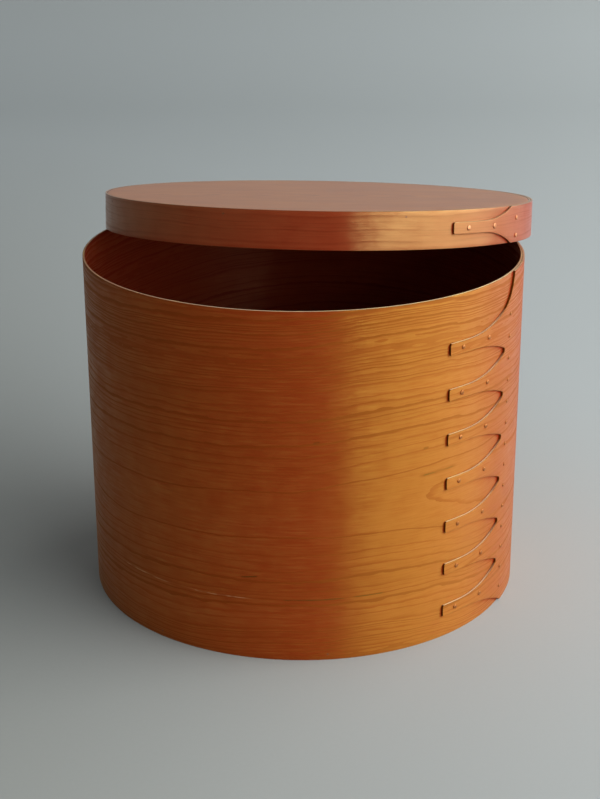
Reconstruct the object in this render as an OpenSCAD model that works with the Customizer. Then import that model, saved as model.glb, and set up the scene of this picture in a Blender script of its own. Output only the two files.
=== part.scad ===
// Round bentwood pantry box, with its lid pushed back and resting tilted on the rim.
// Millimetres, +Z up, origin at the middle of the base. The front with the lap faces -Y.
// Directions are degrees from +X towards +Y, seen from above.

/* [Box] */
// Outside diameter of the bent band, without its lap
box_diameter = 304; // [240:2:360]
// Height of the box without its lid
box_height = 240; // [180:2:300]
// Thickness of the bent band
band_thickness = 1.4; // [1:0.1:3]
// Thickness of the bottom board
bottom_thickness = 8; // [5:0.5:12]

/* [Fingers] */
// How many fingers the band's outer end is cut into
finger_count = 7; // [3:1:8]
// Direction of the finger tips
finger_direction = -52.4; // [-70:0.1:-40]
// Length of a finger, from its tip to the ends of the gaps beside it
finger_length = 61.8; // [40:0.2:75]
// How far a finger's edges run level before they spread
finger_level_length = 17; // [8:1:30]
// Height of a finger's tip
finger_tip_height = 8.2; // [5:0.1:12]
// Radius of the rounded end of a gap between two fingers
gap_nose_radius = 2; // [1:0.25:4]
// Height of the lowest finger's middle above the base
lowest_finger = 19.8; // [16:0.2:40]
// Distance of the top finger's middle below the rim
top_finger_drop = 35.2; // [24:0.2:60]
// Radius of the curve that carries the top finger's upper edge to the rim
top_sweep_radius = 28; // [20:1:45]

/* [Lap] */
// Direction in which the lap has climbed to its full radius
lap_direction = -16; // [-18:1:20]
// Gap between the two layers of the lap
lap_gap = 0.1; // [0.05:0.01:0.3]
// Thickness of the feathered inner end at its edge
feather_edge = 0.3; // [0.2:0.05:0.8]

/* [Lid] */
// Height of the lid band
lid_height = 25.4; // [20:0.2:40]
// Thickness of the lid band
lid_band_thickness = 1.4; // [1:0.1:3]
// Thickness of the lid board
lid_board_thickness = 7.2; // [5:0.2:10]
// Gap all round between the lid band and the lap of the box
lid_clearance = 1.2; // [0.3:0.1:1.5]
// Direction in which the lid's lap has climbed to its full radius
lid_lap_direction = 5; // [-15:1:20]
// Direction of the lid's finger tip, before the lid is tilted
lid_finger_direction = -55.5; // [-75:0.1:-40]
// Length of the lid's finger
lid_finger_length = 63; // [45:0.5:80]
// How far the edges of the lid's finger run level before they spread
lid_finger_level_length = 28; // [10:1:40]
// Height of the tip of the lid's finger
lid_finger_tip_height = 8; // [5:0.1:12]
// Height of the middle of the lid's finger above the lid's lower edge
lid_finger_middle = 13.3; // [10:0.1:20]

/* [Lid resting place] */
// How far the lid is pushed off the middle of the box
lid_shift = 80; // [60:1:110]
// Direction in which the lid is pushed
lid_direction = 82.2; // [60:0.1:120]
// Room left between the lid and the rim where it rests
rest_gap = 0.2; // [0.1:0.05:0.5]

/* [Tacks] */
// Head diameter of the tacks on the box's fingers
finger_tack_head = 3.2; // [2:0.1:4]
// Head diameter of the tacks behind the box's fingers
root_tack_head = 2.6; // [1.8:0.1:4]
// Head diameter of the tacks along the lid's finger
lid_tack_head = 3.8; // [2.4:0.1:4.4]
// Head diameter of the tacks behind the lid's finger
lid_root_tack_head = 3.4; // [2:0.1:4]
// Distance of the tip tacks from the tips of the fingers
tip_tack_distance = 11.2; // [7:0.2:18]
// Distance of the shank tacks from the tips of the fingers
shank_tack_distance = 38.2; // [24:0.2:46]
// Distance of the root tacks behind the ends of the gaps
root_tack_distance = 7.8; // [5:0.2:16]
// Distance of the lid's tip tack from the tip of its finger
lid_tip_tack_distance = 13.2; // [8:0.2:18]
// Distance of the lid's shank tack from the tip of its finger
lid_shank_tack_distance = 40.4; // [24:0.2:48]
// Distance of the lid's root tacks behind the root of its finger
lid_root_tack_distance = 8.8; // [5:0.2:16]

/* [Pegs] */
// Diameter of the wooden pegs
peg_diameter = 1.8; // [1.4:0.1:3]
// Length of the wooden pegs
peg_length = 14; // [8:1:20]
// Angle between two pegs
peg_spacing = 45; // [30:1:60]
// Direction of the peg nearest the lap in the box's front
bottom_peg_direction = -84; // [-110:1:-64]
// Direction of the peg nearest the lap in the lid's front
lid_peg_direction = -68.9; // [-110:0.1:-64]

/* [Hidden] */
$fn = 96;
degrees_per_radian = 180 / PI;
far = 400;

// Both bands climb on a ramp of two equal arcs, each with this cosine and sine
ramp_cos = 0.96;
ramp_sin = 0.28;
ramp_half = atan2(ramp_sin, ramp_cos);

// Box band
outer_radius = box_diameter / 2;
inner_radius = outer_radius - band_thickness;
lap_outer_radius = outer_radius + lap_gap + band_thickness;

// Fingers, measured on the flat that touches the lap half way along them
finger_half_angle = finger_length / lap_outer_radius * degrees_per_radian / 2;
finger_middle_direction = finger_direction + finger_half_angle;
gap_direction = finger_direction + 2 * finger_half_angle;
finger_reach = round(100 * lap_outer_radius * sin(finger_half_angle)) / 100;
finger_pitch = round(100 * (box_height - lowest_finger - top_finger_drop) / (finger_count - 1)) / 100;
gap_half_height = round(50 * (finger_pitch - finger_tip_height)) / 100;
spread_start = finger_level_length - finger_reach;
spread_run = finger_reach - spread_start;
nose_run = pow(spread_run - gap_nose_radius, 2) / (gap_half_height - gap_nose_radius);
spread_radius = round(50 * (nose_run + gap_half_height + gap_nose_radius)) / 100;
nose_reach = sqrt(pow(spread_radius - gap_nose_radius, 2) - pow(spread_radius - gap_half_height, 2));
nose_center_y = spread_start + nose_reach;
nose_start_y = spread_start + nose_reach * spread_radius / (spread_radius - gap_nose_radius);
// The level cut stops this far short, so that it crosses the curved cut instead of only touching it
level_trim = 0.02;
finger_heights = [for (i = [0 : finger_count - 1]) lowest_finger + i * finger_pitch];
top_finger = finger_heights[finger_count - 1];

// Where the top finger's upper edge leaves the usual curve for the tighter one up to the rim
sweep_angle = asin(0.95 * spread_run / spread_radius);
sweep_center_y = spread_start + (spread_radius - top_sweep_radius) * sin(sweep_angle);
sweep_drop = (spread_radius - top_sweep_radius) * cos(sweep_angle);
sweep_center_z = finger_tip_height / 2 + spread_radius - sweep_drop;
sweep_end_y = spread_start + spread_radius * sin(sweep_angle);

// Lid
lid_inner_radius = lap_outer_radius + lid_clearance;
lid_outer_radius = lid_inner_radius + lid_band_thickness;
lid_lap_radius = lid_outer_radius + lap_gap + lid_band_thickness;
lid_depth = lid_height - lid_board_thickness;
lid_finger_half_angle = lid_finger_length / lid_lap_radius * degrees_per_radian / 2;
lid_finger_middle_direction = lid_finger_direction + lid_finger_half_angle;
lid_root_direction = lid_finger_direction + 2 * lid_finger_half_angle;
lid_finger_reach = round(100 * lid_lap_radius * sin(lid_finger_half_angle)) / 100;
lid_spread_start = lid_finger_level_length - lid_finger_reach;
lid_spread_run = lid_finger_reach - lid_spread_start;
lid_upper_rise = lid_height - lid_finger_middle - lid_finger_tip_height / 2;
lid_lower_rise = lid_finger_middle - lid_finger_tip_height / 2;
lid_upper_radius = round(50 * (pow(lid_spread_run, 2) / lid_upper_rise + lid_upper_rise)) / 100;
lid_lower_radius = round(50 * (pow(lid_spread_run, 2) / lid_lower_rise + lid_lower_rise)) / 100;

// Tilted rest of the lid: its lower edge touches the rim at both sides, its board the back of the rim.
// Back is the direction of the push. The right touch is on the lap, the left touch on the single band.
right_back = (pow(lid_shift, 2) + pow(lap_outer_radius, 2) - pow(lid_inner_radius, 2)) / (2 * lid_shift);
left_back = (pow(lid_shift, 2) + pow(outer_radius, 2) - pow(lid_inner_radius, 2)) / (2 * lid_shift);
right_side = -sqrt(pow(lap_outer_radius, 2) - pow(right_back, 2));
left_side = sqrt(pow(outer_radius, 2) - pow(left_back, 2));
side_share = -(right_back - left_back) / (right_side - left_side);
depth_share = (outer_radius - right_back - side_share * right_side) / lid_depth;
back_slope = -1 / sqrt(pow(depth_share, 2) - 1 - pow(side_share, 2));
side_slope = side_share * back_slope;
lid_rise = -back_slope * right_back - side_slope * right_side + back_slope * lid_shift + rest_gap;
back_axis = [cos(lid_direction), sin(lid_direction), 0];
side_axis = [-sin(lid_direction), cos(lid_direction), 0];
lid_normal = [0, 0, 1] - back_slope * back_axis - side_slope * side_axis;
lid_tilt = acos(1 / norm(lid_normal));
lid_tilt_axis = cross([0, 0, 1], lid_normal);

// Tacks
tack_shank = 1.2;
tack_hole_gap = 0.05;
tack_head_edge = 0.3;
tack_head_dome = 0.4;
clinch_diameter = 2;
clinch_thickness = 0.4;
tip_tack_direction = finger_direction + tip_tack_distance / lap_outer_radius * degrees_per_radian;
shank_tack_direction = finger_direction + shank_tack_distance / lap_outer_radius * degrees_per_radian;
root_tack_direction = gap_direction + root_tack_distance / lap_outer_radius * degrees_per_radian;
lid_turn = degrees_per_radian / lid_lap_radius;
lid_tip_tack_direction = lid_finger_direction + lid_tip_tack_distance * lid_turn;
lid_shank_tack_direction = lid_finger_direction + lid_shank_tack_distance * lid_turn;
lid_root_tack_direction = lid_root_direction + lid_root_tack_distance * lid_turn;
// The upper of the lid's root tacks is clinched just below the lid board
lid_root_tack_heights = [0.19 * lid_height, lid_depth - clinch_diameter / 2 - 0.2];

// Pegs stand where the bands are single, from the front round to the start of the ramp
peg_gap = 0.03;
peg_count = 1 + floor(235 / peg_spacing);
bottom_peg_directions = [for (i = [0 : peg_count - 1]) bottom_peg_direction - i * peg_spacing];
lid_peg_directions = [for (i = [0 : peg_count - 1]) lid_peg_direction - i * peg_spacing];
bottom_peg_height = bottom_thickness / 2;
lid_peg_height = lid_height - lid_board_thickness / 2;
board_gap = 0.1;

cherry = [0.72, 0.40, 0.20];
cherry_board = [0.66, 0.42, 0.26];
copper = [0.80, 0.46, 0.32];
peg_wood = [0.45, 0.26, 0.14];

// A piece of ring that starts at +X and turns towards +Y
module ring_piece(inner, outer, height, sweep) {
    rotate_extrude(angle = sweep)
        translate([inner, 0])
            square([outer - inner, height]);
}

// The wedge that holds the ramp, as far to one side of +X as to the other
module ramp_wedge(height) {
    translate([0, 0, -1])
        linear_extrude(height + 2)
            polygon([[0, 0], far * [ramp_cos, -ramp_sin], far * [ramp_cos, ramp_sin]]);
}

// A strip bent to a circle: it climbs over its own feathered end and runs on as a second layer.
// The ramp is at +X, and the second layer turns away from it towards -Y.
module lapped_strip(inner, thickness, height, lap_sweep) {
    outer = inner + thickness;
    step = thickness + lap_gap;
    arc_shift = step / (2 * (1 - ramp_cos));
    feather_sweep = ramp_half - acos(1 - (feather_edge + lap_gap) / arc_shift);
    first_center = [-arc_shift * ramp_cos, -arc_shift * ramp_sin, 0];
    second_center = [arc_shift * ramp_cos, -arc_shift * ramp_sin, 0];
    // the single layer
    difference() {
        cylinder(r = outer, h = height, $fn = 180);
        translate([0, 0, -1])
            cylinder(r = inner, h = height + 2, $fn = 180);
        ramp_wedge(height);
    }
    // the second layer
    mirror([0, 1, 0])
        rotate([0, 0, ramp_half])
            ring_piece(outer + lap_gap, outer + step, height, lap_sweep);
    // the ramp: one arc leaves the circle, and one joins the wider circle
    intersection() {
        union() {
            translate(first_center)
                ring_piece(inner + arc_shift, outer + arc_shift, height, 3 * ramp_half);
            translate(second_center)
                mirror([0, 1, 0])
                    ring_piece(inner + step - arc_shift, outer + step - arc_shift, height, 3 * ramp_half);
        }
        ramp_wedge(height);
    }
    // the feathered end that fills the space under the ramp
    difference() {
        intersection() {
            union() {
                translate(first_center)
                    ring_piece(inner / 2, inner + arc_shift - lap_gap, height, feather_sweep);
                translate(second_center)
                    mirror([0, 1, 0])
                        ring_piece(inner / 2, outer - arc_shift, height, 3 * ramp_half);
            }
            ramp_wedge(height);
        }
        translate([0, 0, -1])
            cylinder(r = inner, h = height + 2, $fn = 180);
    }
}

// A disc that stands upright and faces along +X, used to cut curved finger edges
module upright_disc(radius, y, z) {
    translate([0, y, z])
        rotate([0, 90, 0])
            cylinder(r = radius, h = far, $fn = 180);
}

// A block used to cut straight finger edges
module cut_block(y_from, y_to, z_from, z_to) {
    translate([0, y_from, z_from])
        cube([far, y_to - y_from, z_to - z_from]);
}

// The gap between two fingers, which narrows to a small rounded nose
module finger_gap() {
    level = gap_half_height - level_trim;
    cut_block(-finger_reach - 20, spread_start, -level, level);
    intersection() {
        upright_disc(spread_radius, spread_start, gap_half_height - spread_radius);
        upright_disc(spread_radius, spread_start, spread_radius - gap_half_height);
        cut_block(spread_start - 5, nose_start_y, -2 * gap_half_height, 2 * gap_half_height);
    }
    upright_disc(gap_nose_radius + level_trim, nose_center_y, 0);
}

// The space under the lowest finger, whose lower edge curves on down to the base
module lowest_gap() {
    cut_block(-finger_reach - 20, spread_start, -far, gap_half_height - level_trim);
    intersection() {
        upright_disc(spread_radius, spread_start, gap_half_height - spread_radius);
        cut_block(spread_start - 5, finger_reach + 40, -far, 2 * gap_half_height);
    }
}

// The space over the top finger, whose upper edge sweeps up to the rim
module top_gap() {
    half = finger_tip_height / 2;
    cut_block(-finger_reach - 20, spread_start, half + level_trim, far);
    intersection() {
        upright_disc(spread_radius, spread_start, half + spread_radius);
        cut_block(spread_start - 5, sweep_end_y, -half, sweep_center_z);
    }
    upright_disc(top_sweep_radius + level_trim, sweep_center_y, sweep_center_z);
}

// Everything that is cut away between and beside the fingers of the box
module finger_cuts() {
    rotate([0, 0, finger_middle_direction]) {
        for (i = [0 : finger_count - 2])
            translate([0, 0, finger_heights[i] + finger_pitch / 2])
                finger_gap();
        translate([0, 0, lowest_finger - finger_pitch / 2])
            lowest_gap();
        translate([0, 0, top_finger])
            top_gap();
    }
}

// Everything that is cut away above and below the lid's finger
module lid_finger_cuts() {
    half = lid_finger_tip_height / 2;
    rotate([0, 0, lid_finger_middle_direction])
        translate([0, 0, lid_finger_middle]) {
            cut_block(-lid_finger_reach - 20, lid_spread_start, half + level_trim, far);
            intersection() {
                upright_disc(lid_upper_radius, lid_spread_start, half + lid_upper_radius);
                cut_block(lid_spread_start - 5, lid_finger_reach + 20, 0, lid_upper_radius);
            }
            cut_block(-lid_finger_reach - 20, lid_spread_start, -far, -half - level_trim);
            intersection() {
                upright_disc(lid_lower_radius, lid_spread_start, -half - lid_lower_radius);
                cut_block(lid_spread_start - 5, lid_finger_reach + 20, -lid_lower_radius, 0);
            }
        }
}

// The outer layer of a lap, with room to spare: only this is cut into fingers
module lap_zone(inner, outer, height, tips) {
    rotate([0, 0, tips - 10])
        translate([0, 0, -1])
            ring_piece(inner + lap_gap / 2, outer + 5, height + 2, 60);
}

// Puts its children at a height, facing out along a direction
module facing(direction, height) {
    rotate([0, 0, direction])
        translate([0, 0, height])
            rotate([0, 90, 0])
                children();
}

// A tack driven through both layers, with a low head outside and a clinched point inside
module tack(direction, height, head_diameter, inside, outside) {
    facing(direction, height) {
        translate([0, 0, outside])
            cylinder(d = head_diameter, h = tack_head_edge);
        translate([0, 0, outside + tack_head_edge])
            cylinder(d1 = head_diameter, d2 = 0.45 * head_diameter, h = tack_head_dome);
        translate([0, 0, inside - clinch_thickness - 0.02])
            cylinder(d = clinch_diameter, h = clinch_thickness);
        translate([0, 0, inside - 0.02 - clinch_thickness / 2])
            cylinder(d = tack_shank, h = outside - inside + clinch_thickness);
    }
}

// The hole a tack stands in
module tack_hole(direction, height, inside, outside) {
    facing(direction, height)
        translate([0, 0, inside - 3])
            cylinder(d = tack_shank + 2 * tack_hole_gap, h = outside - inside + 6);
}

// A wooden peg, or with some growth the hole it stands in
module peg(direction, height, outside, growth, extra) {
    facing(direction, height)
        translate([0, 0, outside - peg_length - extra])
            cylinder(d = peg_diameter + 2 * growth, h = peg_length + 2 * extra);
}

// Puts the lid where it rests on the rim
module lid_place() {
    translate(lid_shift * back_axis + [0, 0, box_height + lid_rise])
        rotate(a = lid_tilt, v = lid_tilt_axis)
            children();
}

module box_band() {
    color(cherry)
        difference() {
            rotate([0, 0, lap_direction + ramp_half])
                lapped_strip(inner_radius, band_thickness, box_height, lap_direction - finger_direction);
            intersection() {
                finger_cuts();
                lap_zone(outer_radius, lap_outer_radius, box_height, finger_direction);
            }
            for (z = finger_heights) {
                tack_hole(tip_tack_direction, z, inner_radius, lap_outer_radius);
                tack_hole(shank_tack_direction, z, inner_radius, lap_outer_radius);
                tack_hole(root_tack_direction, z - finger_pitch / 4, inner_radius, lap_outer_radius);
                tack_hole(root_tack_direction, z + finger_pitch / 4, inner_radius, lap_outer_radius);
            }
            for (d = bottom_peg_directions)
                peg(d, bottom_peg_height, outer_radius, peg_gap, 1);
        }
}

module bottom_board() {
    color(cherry_board)
        difference() {
            cylinder(r = inner_radius - board_gap, h = bottom_thickness, $fn = 180);
            for (d = bottom_peg_directions)
                peg(d, bottom_peg_height, outer_radius, peg_gap, 1);
        }
}

module bottom_pegs() {
    color(peg_wood)
        for (d = bottom_peg_directions)
            peg(d, bottom_peg_height, outer_radius, 0, 0);
}

module finger_tacks() {
    color(copper)
        for (z = finger_heights) {
            tack(tip_tack_direction, z, finger_tack_head, inner_radius, lap_outer_radius);
            tack(shank_tack_direction, z, finger_tack_head, inner_radius, lap_outer_radius);
        }
}

module root_tacks() {
    color(copper)
        for (z = finger_heights, side = [-1, 1])
            tack(root_tack_direction, z + side * finger_pitch / 4, root_tack_head,
                 inner_radius, lap_outer_radius);
}

module lid_band() {
    color(cherry)
        lid_place()
            difference() {
                rotate([0, 0, lid_lap_direction + ramp_half])
                    lapped_strip(lid_inner_radius, lid_band_thickness, lid_height,
                                 lid_lap_direction - lid_finger_direction);
                intersection() {
                    lid_finger_cuts();
                    lap_zone(lid_outer_radius, lid_lap_radius, lid_height, lid_finger_direction);
                }
                tack_hole(lid_tip_tack_direction, lid_finger_middle, lid_inner_radius, lid_lap_radius);
                tack_hole(lid_shank_tack_direction, lid_finger_middle, lid_inner_radius, lid_lap_radius);
                for (z = lid_root_tack_heights)
                    tack_hole(lid_root_tack_direction, z, lid_inner_radius, lid_lap_radius);
                for (d = lid_peg_directions)
                    peg(d, lid_peg_height, lid_outer_radius, peg_gap, 1);
            }
}

module lid_board() {
    color(cherry_board)
        lid_place()
            difference() {
                translate([0, 0, lid_depth])
                    cylinder(r = lid_inner_radius - board_gap, h = lid_board_thickness, $fn = 180);
                for (d = lid_peg_directions)
                    peg(d, lid_peg_height, lid_outer_radius, peg_gap, 1);
            }
}

module lid_pegs() {
    color(peg_wood)
        lid_place()
            for (d = lid_peg_directions)
                peg(d, lid_peg_height, lid_outer_radius, 0, 0);
}

module lid_finger_tacks() {
    color(copper)
        lid_place() {
            tack(lid_tip_tack_direction, lid_finger_middle, lid_tack_head,
                 lid_inner_radius, lid_lap_radius);
            tack(lid_shank_tack_direction, lid_finger_middle, lid_tack_head,
                 lid_inner_radius, lid_lap_radius);
        }
}

module lid_root_tacks() {
    color(copper)
        lid_place()
            for (z = lid_root_tack_heights)
                tack(lid_root_tack_direction, z, lid_root_tack_head, lid_inner_radius, lid_lap_radius);
}

box_band();
bottom_board();
bottom_pegs();
finger_tacks();
root_tacks();
lid_band();
lid_board();
lid_pegs();
lid_finger_tacks();
lid_root_tacks();
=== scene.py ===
# Looks of a round bentwood pantry box whose lid is pushed back and rests tilted on the rim.
# Metres, +Z up, origin at the middle of the base, the front with the lap faces -Y.
import math
import random

import bmesh
import bpy
from mathutils import Matrix, Vector


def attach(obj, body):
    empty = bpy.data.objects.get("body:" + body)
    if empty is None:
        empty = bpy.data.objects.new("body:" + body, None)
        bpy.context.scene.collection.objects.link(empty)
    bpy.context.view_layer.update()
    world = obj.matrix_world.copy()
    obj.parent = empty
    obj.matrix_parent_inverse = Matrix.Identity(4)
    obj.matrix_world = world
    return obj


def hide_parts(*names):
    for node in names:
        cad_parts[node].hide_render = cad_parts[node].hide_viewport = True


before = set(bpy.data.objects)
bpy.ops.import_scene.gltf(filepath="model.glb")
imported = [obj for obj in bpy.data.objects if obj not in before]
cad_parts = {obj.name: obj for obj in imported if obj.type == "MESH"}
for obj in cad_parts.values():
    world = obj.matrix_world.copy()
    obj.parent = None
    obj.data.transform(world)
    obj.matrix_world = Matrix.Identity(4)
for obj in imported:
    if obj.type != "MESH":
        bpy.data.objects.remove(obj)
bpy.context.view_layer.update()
bpy.ops.object.select_all(action="DESELECT")


# Box band
# A long strip of thin cherry, steamed and bent to a circle, so its grain runs round the box. The inner end is
# feathered thin. The outer end climbs over it and is sawn into seven swallowtail fingers, which tacks hold
# down.
mm = 0.001
box_outer_radius = 152.0
box_height = 240.0
band_thickness = 1.4
lap_gap = 0.1
box_inner_radius = box_outer_radius - band_thickness
lap_outer_radius = box_outer_radius + lap_gap + band_thickness
lap_direction = -16.0
feather_edge = 0.3
edge_rounding = 0.3
finger_count = 7
finger_direction = -52.4
finger_length = 61.8
finger_level_length = 17.0
finger_tip_height = 8.2
finger_corner = 1.2
gap_nose_radius = 2.0
lowest_finger = 19.8
top_finger_drop = 35.2
top_sweep_radius = 28.0
# the top finger's upper edge leaves the usual curve after this share of its run
sweep_share = 0.95

# the strip climbs over its own end on two equal arcs, each with this cosine and sine
ramp_cos = 0.96
ramp_sin = 0.28
ramp_half = math.degrees(math.atan2(ramp_sin, ramp_cos))

finger_half_angle = math.degrees(finger_length / lap_outer_radius) / 2
finger_middle_direction = finger_direction + finger_half_angle
gap_direction = finger_direction + 2 * finger_half_angle
finger_reach = lap_outer_radius * math.sin(math.radians(finger_half_angle))
top_finger = box_height - top_finger_drop
finger_pitch = (top_finger - lowest_finger) / (finger_count - 1)
gap_half_height = (finger_pitch - finger_tip_height) / 2
spread_start = finger_level_length - finger_reach
spread_run = finger_reach - spread_start
nose_run = (spread_run - gap_nose_radius) ** 2 / (gap_half_height - gap_nose_radius)
spread_radius = (nose_run + gap_half_height + gap_nose_radius) / 2
nose_center_along = finger_reach - gap_nose_radius
nose_reach = nose_center_along - spread_start
nose_start_along = spread_start + nose_reach * spread_radius / (spread_radius - gap_nose_radius)
sweep_angle = math.asin(sweep_share * spread_run / spread_radius)
sweep_center_along = spread_start + (spread_radius - top_sweep_radius) * math.sin(sweep_angle)
sweep_drop = (spread_radius - top_sweep_radius) * math.cos(sweep_angle)
sweep_center_height = finger_tip_height / 2 + spread_radius - sweep_drop
sweep_end_along = spread_start + spread_radius * math.sin(sweep_angle)
sweep_rim_run = math.sqrt(top_sweep_radius ** 2 - (sweep_center_height - top_finger_drop) ** 2)
lowest_run = math.sqrt(spread_radius ** 2 - (spread_radius - lowest_finger + finger_tip_height / 2) ** 2)
# rows of faces across a finger, and degrees between columns of points along the lap and round the rest
finger_row_count = 6
top_finger_row_count = 12
lap_step = 1.5
round_step = 2.0
merge_distance = 0.00001
sharp_angle = math.radians(45)
smooth_angle = math.radians(40)
# a face looks less outwards than this on a cut edge, which is side grain where it looks up or down this far
edge_look = 0.95
side_grain_look = 0.89
side_grain_blend = 0.07
# a face of a strip is inside where it looks this far to the middle
inward_look = 0.5
# edges are eased where the strip has at least this share of its thickness
full_share = 0.95
# where in the board the strip is sliced
box_cut_from = (0.0, 0.0)


def direction_at(along):
    """Direction round the box of a place along the fingers, measured from their middle."""
    return finger_middle_direction + math.degrees(math.asin(along / lap_outer_radius))


nose_direction = direction_at(nose_start_along)
base_direction = direction_at(spread_start + lowest_run)
rim_direction = direction_at(sweep_center_along + sweep_rim_run)


def arc_rise(radius, run):
    """How far a curved finger edge has left the level after a run along the finger."""
    run = min(max(run, 0.0), radius)
    return radius - math.sqrt(radius ** 2 - run ** 2)


def finger_along(direction):
    """Place along the fingers, measured from their middle, of a direction round the box."""
    return lap_outer_radius * math.sin(math.radians(direction - finger_middle_direction))


def corner_cut(direction, tip_direction, radius):
    """How far a finger's edge is cut back near its tip, where the corners are eased."""
    run = min(radius * math.radians(direction - tip_direction), finger_corner)
    return finger_corner - math.sqrt(finger_corner ** 2 - (finger_corner - run) ** 2)


def finger_edge(direction):
    """How far a finger's curved edge is from the middle of the finger, with the corner of its tip eased."""
    rise = arc_rise(spread_radius, finger_along(direction) - spread_start)
    return finger_tip_height / 2 + rise - corner_cut(direction, finger_direction, lap_outer_radius)


def box_finger_half(direction):
    """Half the height of a finger where it has that direction."""
    if direction >= gap_direction:
        return finger_pitch / 2
    along = finger_along(direction)
    if along > nose_start_along:
        return finger_pitch / 2 - math.sqrt(max(0.0, gap_nose_radius ** 2 - (along - nose_center_along) ** 2))
    return finger_edge(direction)


def box_rows(direction):
    """Heights of the strip's rows of points at a direction, from the lowest finger up to the top one."""
    half = box_finger_half(direction)
    along = finger_along(direction)
    rows = []
    for number in range(finger_count):
        middle = lowest_finger + number * finger_pitch
        low = middle - half
        high = middle + half
        count = finger_row_count
        if number == 0:
            low = 0.0 if direction >= base_direction else middle - finger_edge(direction)
        if number == finger_count - 1:
            count = top_finger_row_count
            high = middle + finger_edge(direction)
            if direction >= rim_direction:
                high = box_height
            elif along > sweep_end_along:
                run = along - sweep_center_along
                high = middle + sweep_center_height - math.sqrt(top_sweep_radius ** 2 - run ** 2)
        rows += [low + (high - low) * k / count for k in range(count + 1)]
    return rows


def box_gap(direction, height):
    """True between two fingers, where the strip is sawn away."""
    if direction > gap_direction:
        return False
    number = min(finger_count - 1, max(0, round((height - lowest_finger) / finger_pitch)))
    middle = lowest_finger + number * finger_pitch
    if number in (0, finger_count - 1) and abs(height - middle) > finger_pitch / 2:
        return False
    inner_side = (number > 0 or height > middle) and (number < finger_count - 1 or height < middle)
    return inner_side and abs(height - middle) > box_finger_half(direction)


def even_steps(start, end, size):
    """Places from start up to but not including end, about that far apart."""
    count = max(1, round((end - start) / size))
    return [start + (end - start) * k / count for k in range(count)]


def strip_columns(stretches, lap_end):
    """Directions of the strip's columns of points: fine along the fingers, wider round the rest."""
    columns = []
    for start, end, size in stretches:
        columns += even_steps(start, end, size)
    columns += even_steps(stretches[-1][1], lap_end, lap_step)
    columns += even_steps(lap_end, lap_end + 2 * ramp_half, lap_step)
    columns += even_steps(lap_end + 2 * ramp_half, lap_end + 360, round_step)
    return columns


def ramp_radius(direction, inner, step, lap_end):
    """Radius of the strip's inner face, from the lap down the ramp to the single layer."""
    shift = step / (2 * (1 - ramp_cos))
    if direction <= lap_end:
        return inner + step
    if direction >= lap_end + 2 * ramp_half:
        return inner
    meeting_x = inner + shift * (1 - ramp_cos)
    meeting = lap_end + ramp_half - math.degrees(math.atan2(shift * ramp_sin, meeting_x))
    if direction < meeting:
        turn = math.radians(direction - lap_end)
        return shift * math.cos(turn) + math.sqrt((inner + step - shift) ** 2 - (shift * math.sin(turn)) ** 2)
    turn = math.radians(direction - lap_end - 2 * ramp_half)
    return -shift * math.cos(turn) + math.sqrt((inner + shift) ** 2 - (shift * math.sin(turn)) ** 2)


def select_where(piece, kind, chosen):
    """Selects, in edit mode, the faces or the edges of a piece for which a test is true, and nothing else."""
    bpy.ops.mesh.select_mode(type=kind)
    bpy.ops.mesh.select_all(action="DESELECT")
    mesh = bmesh.from_edit_mesh(piece.data)
    for part in mesh.faces if kind == "FACE" else mesh.edges:
        part.select_set(chosen(part))
    bmesh.update_edit_mesh(piece.data)


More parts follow.
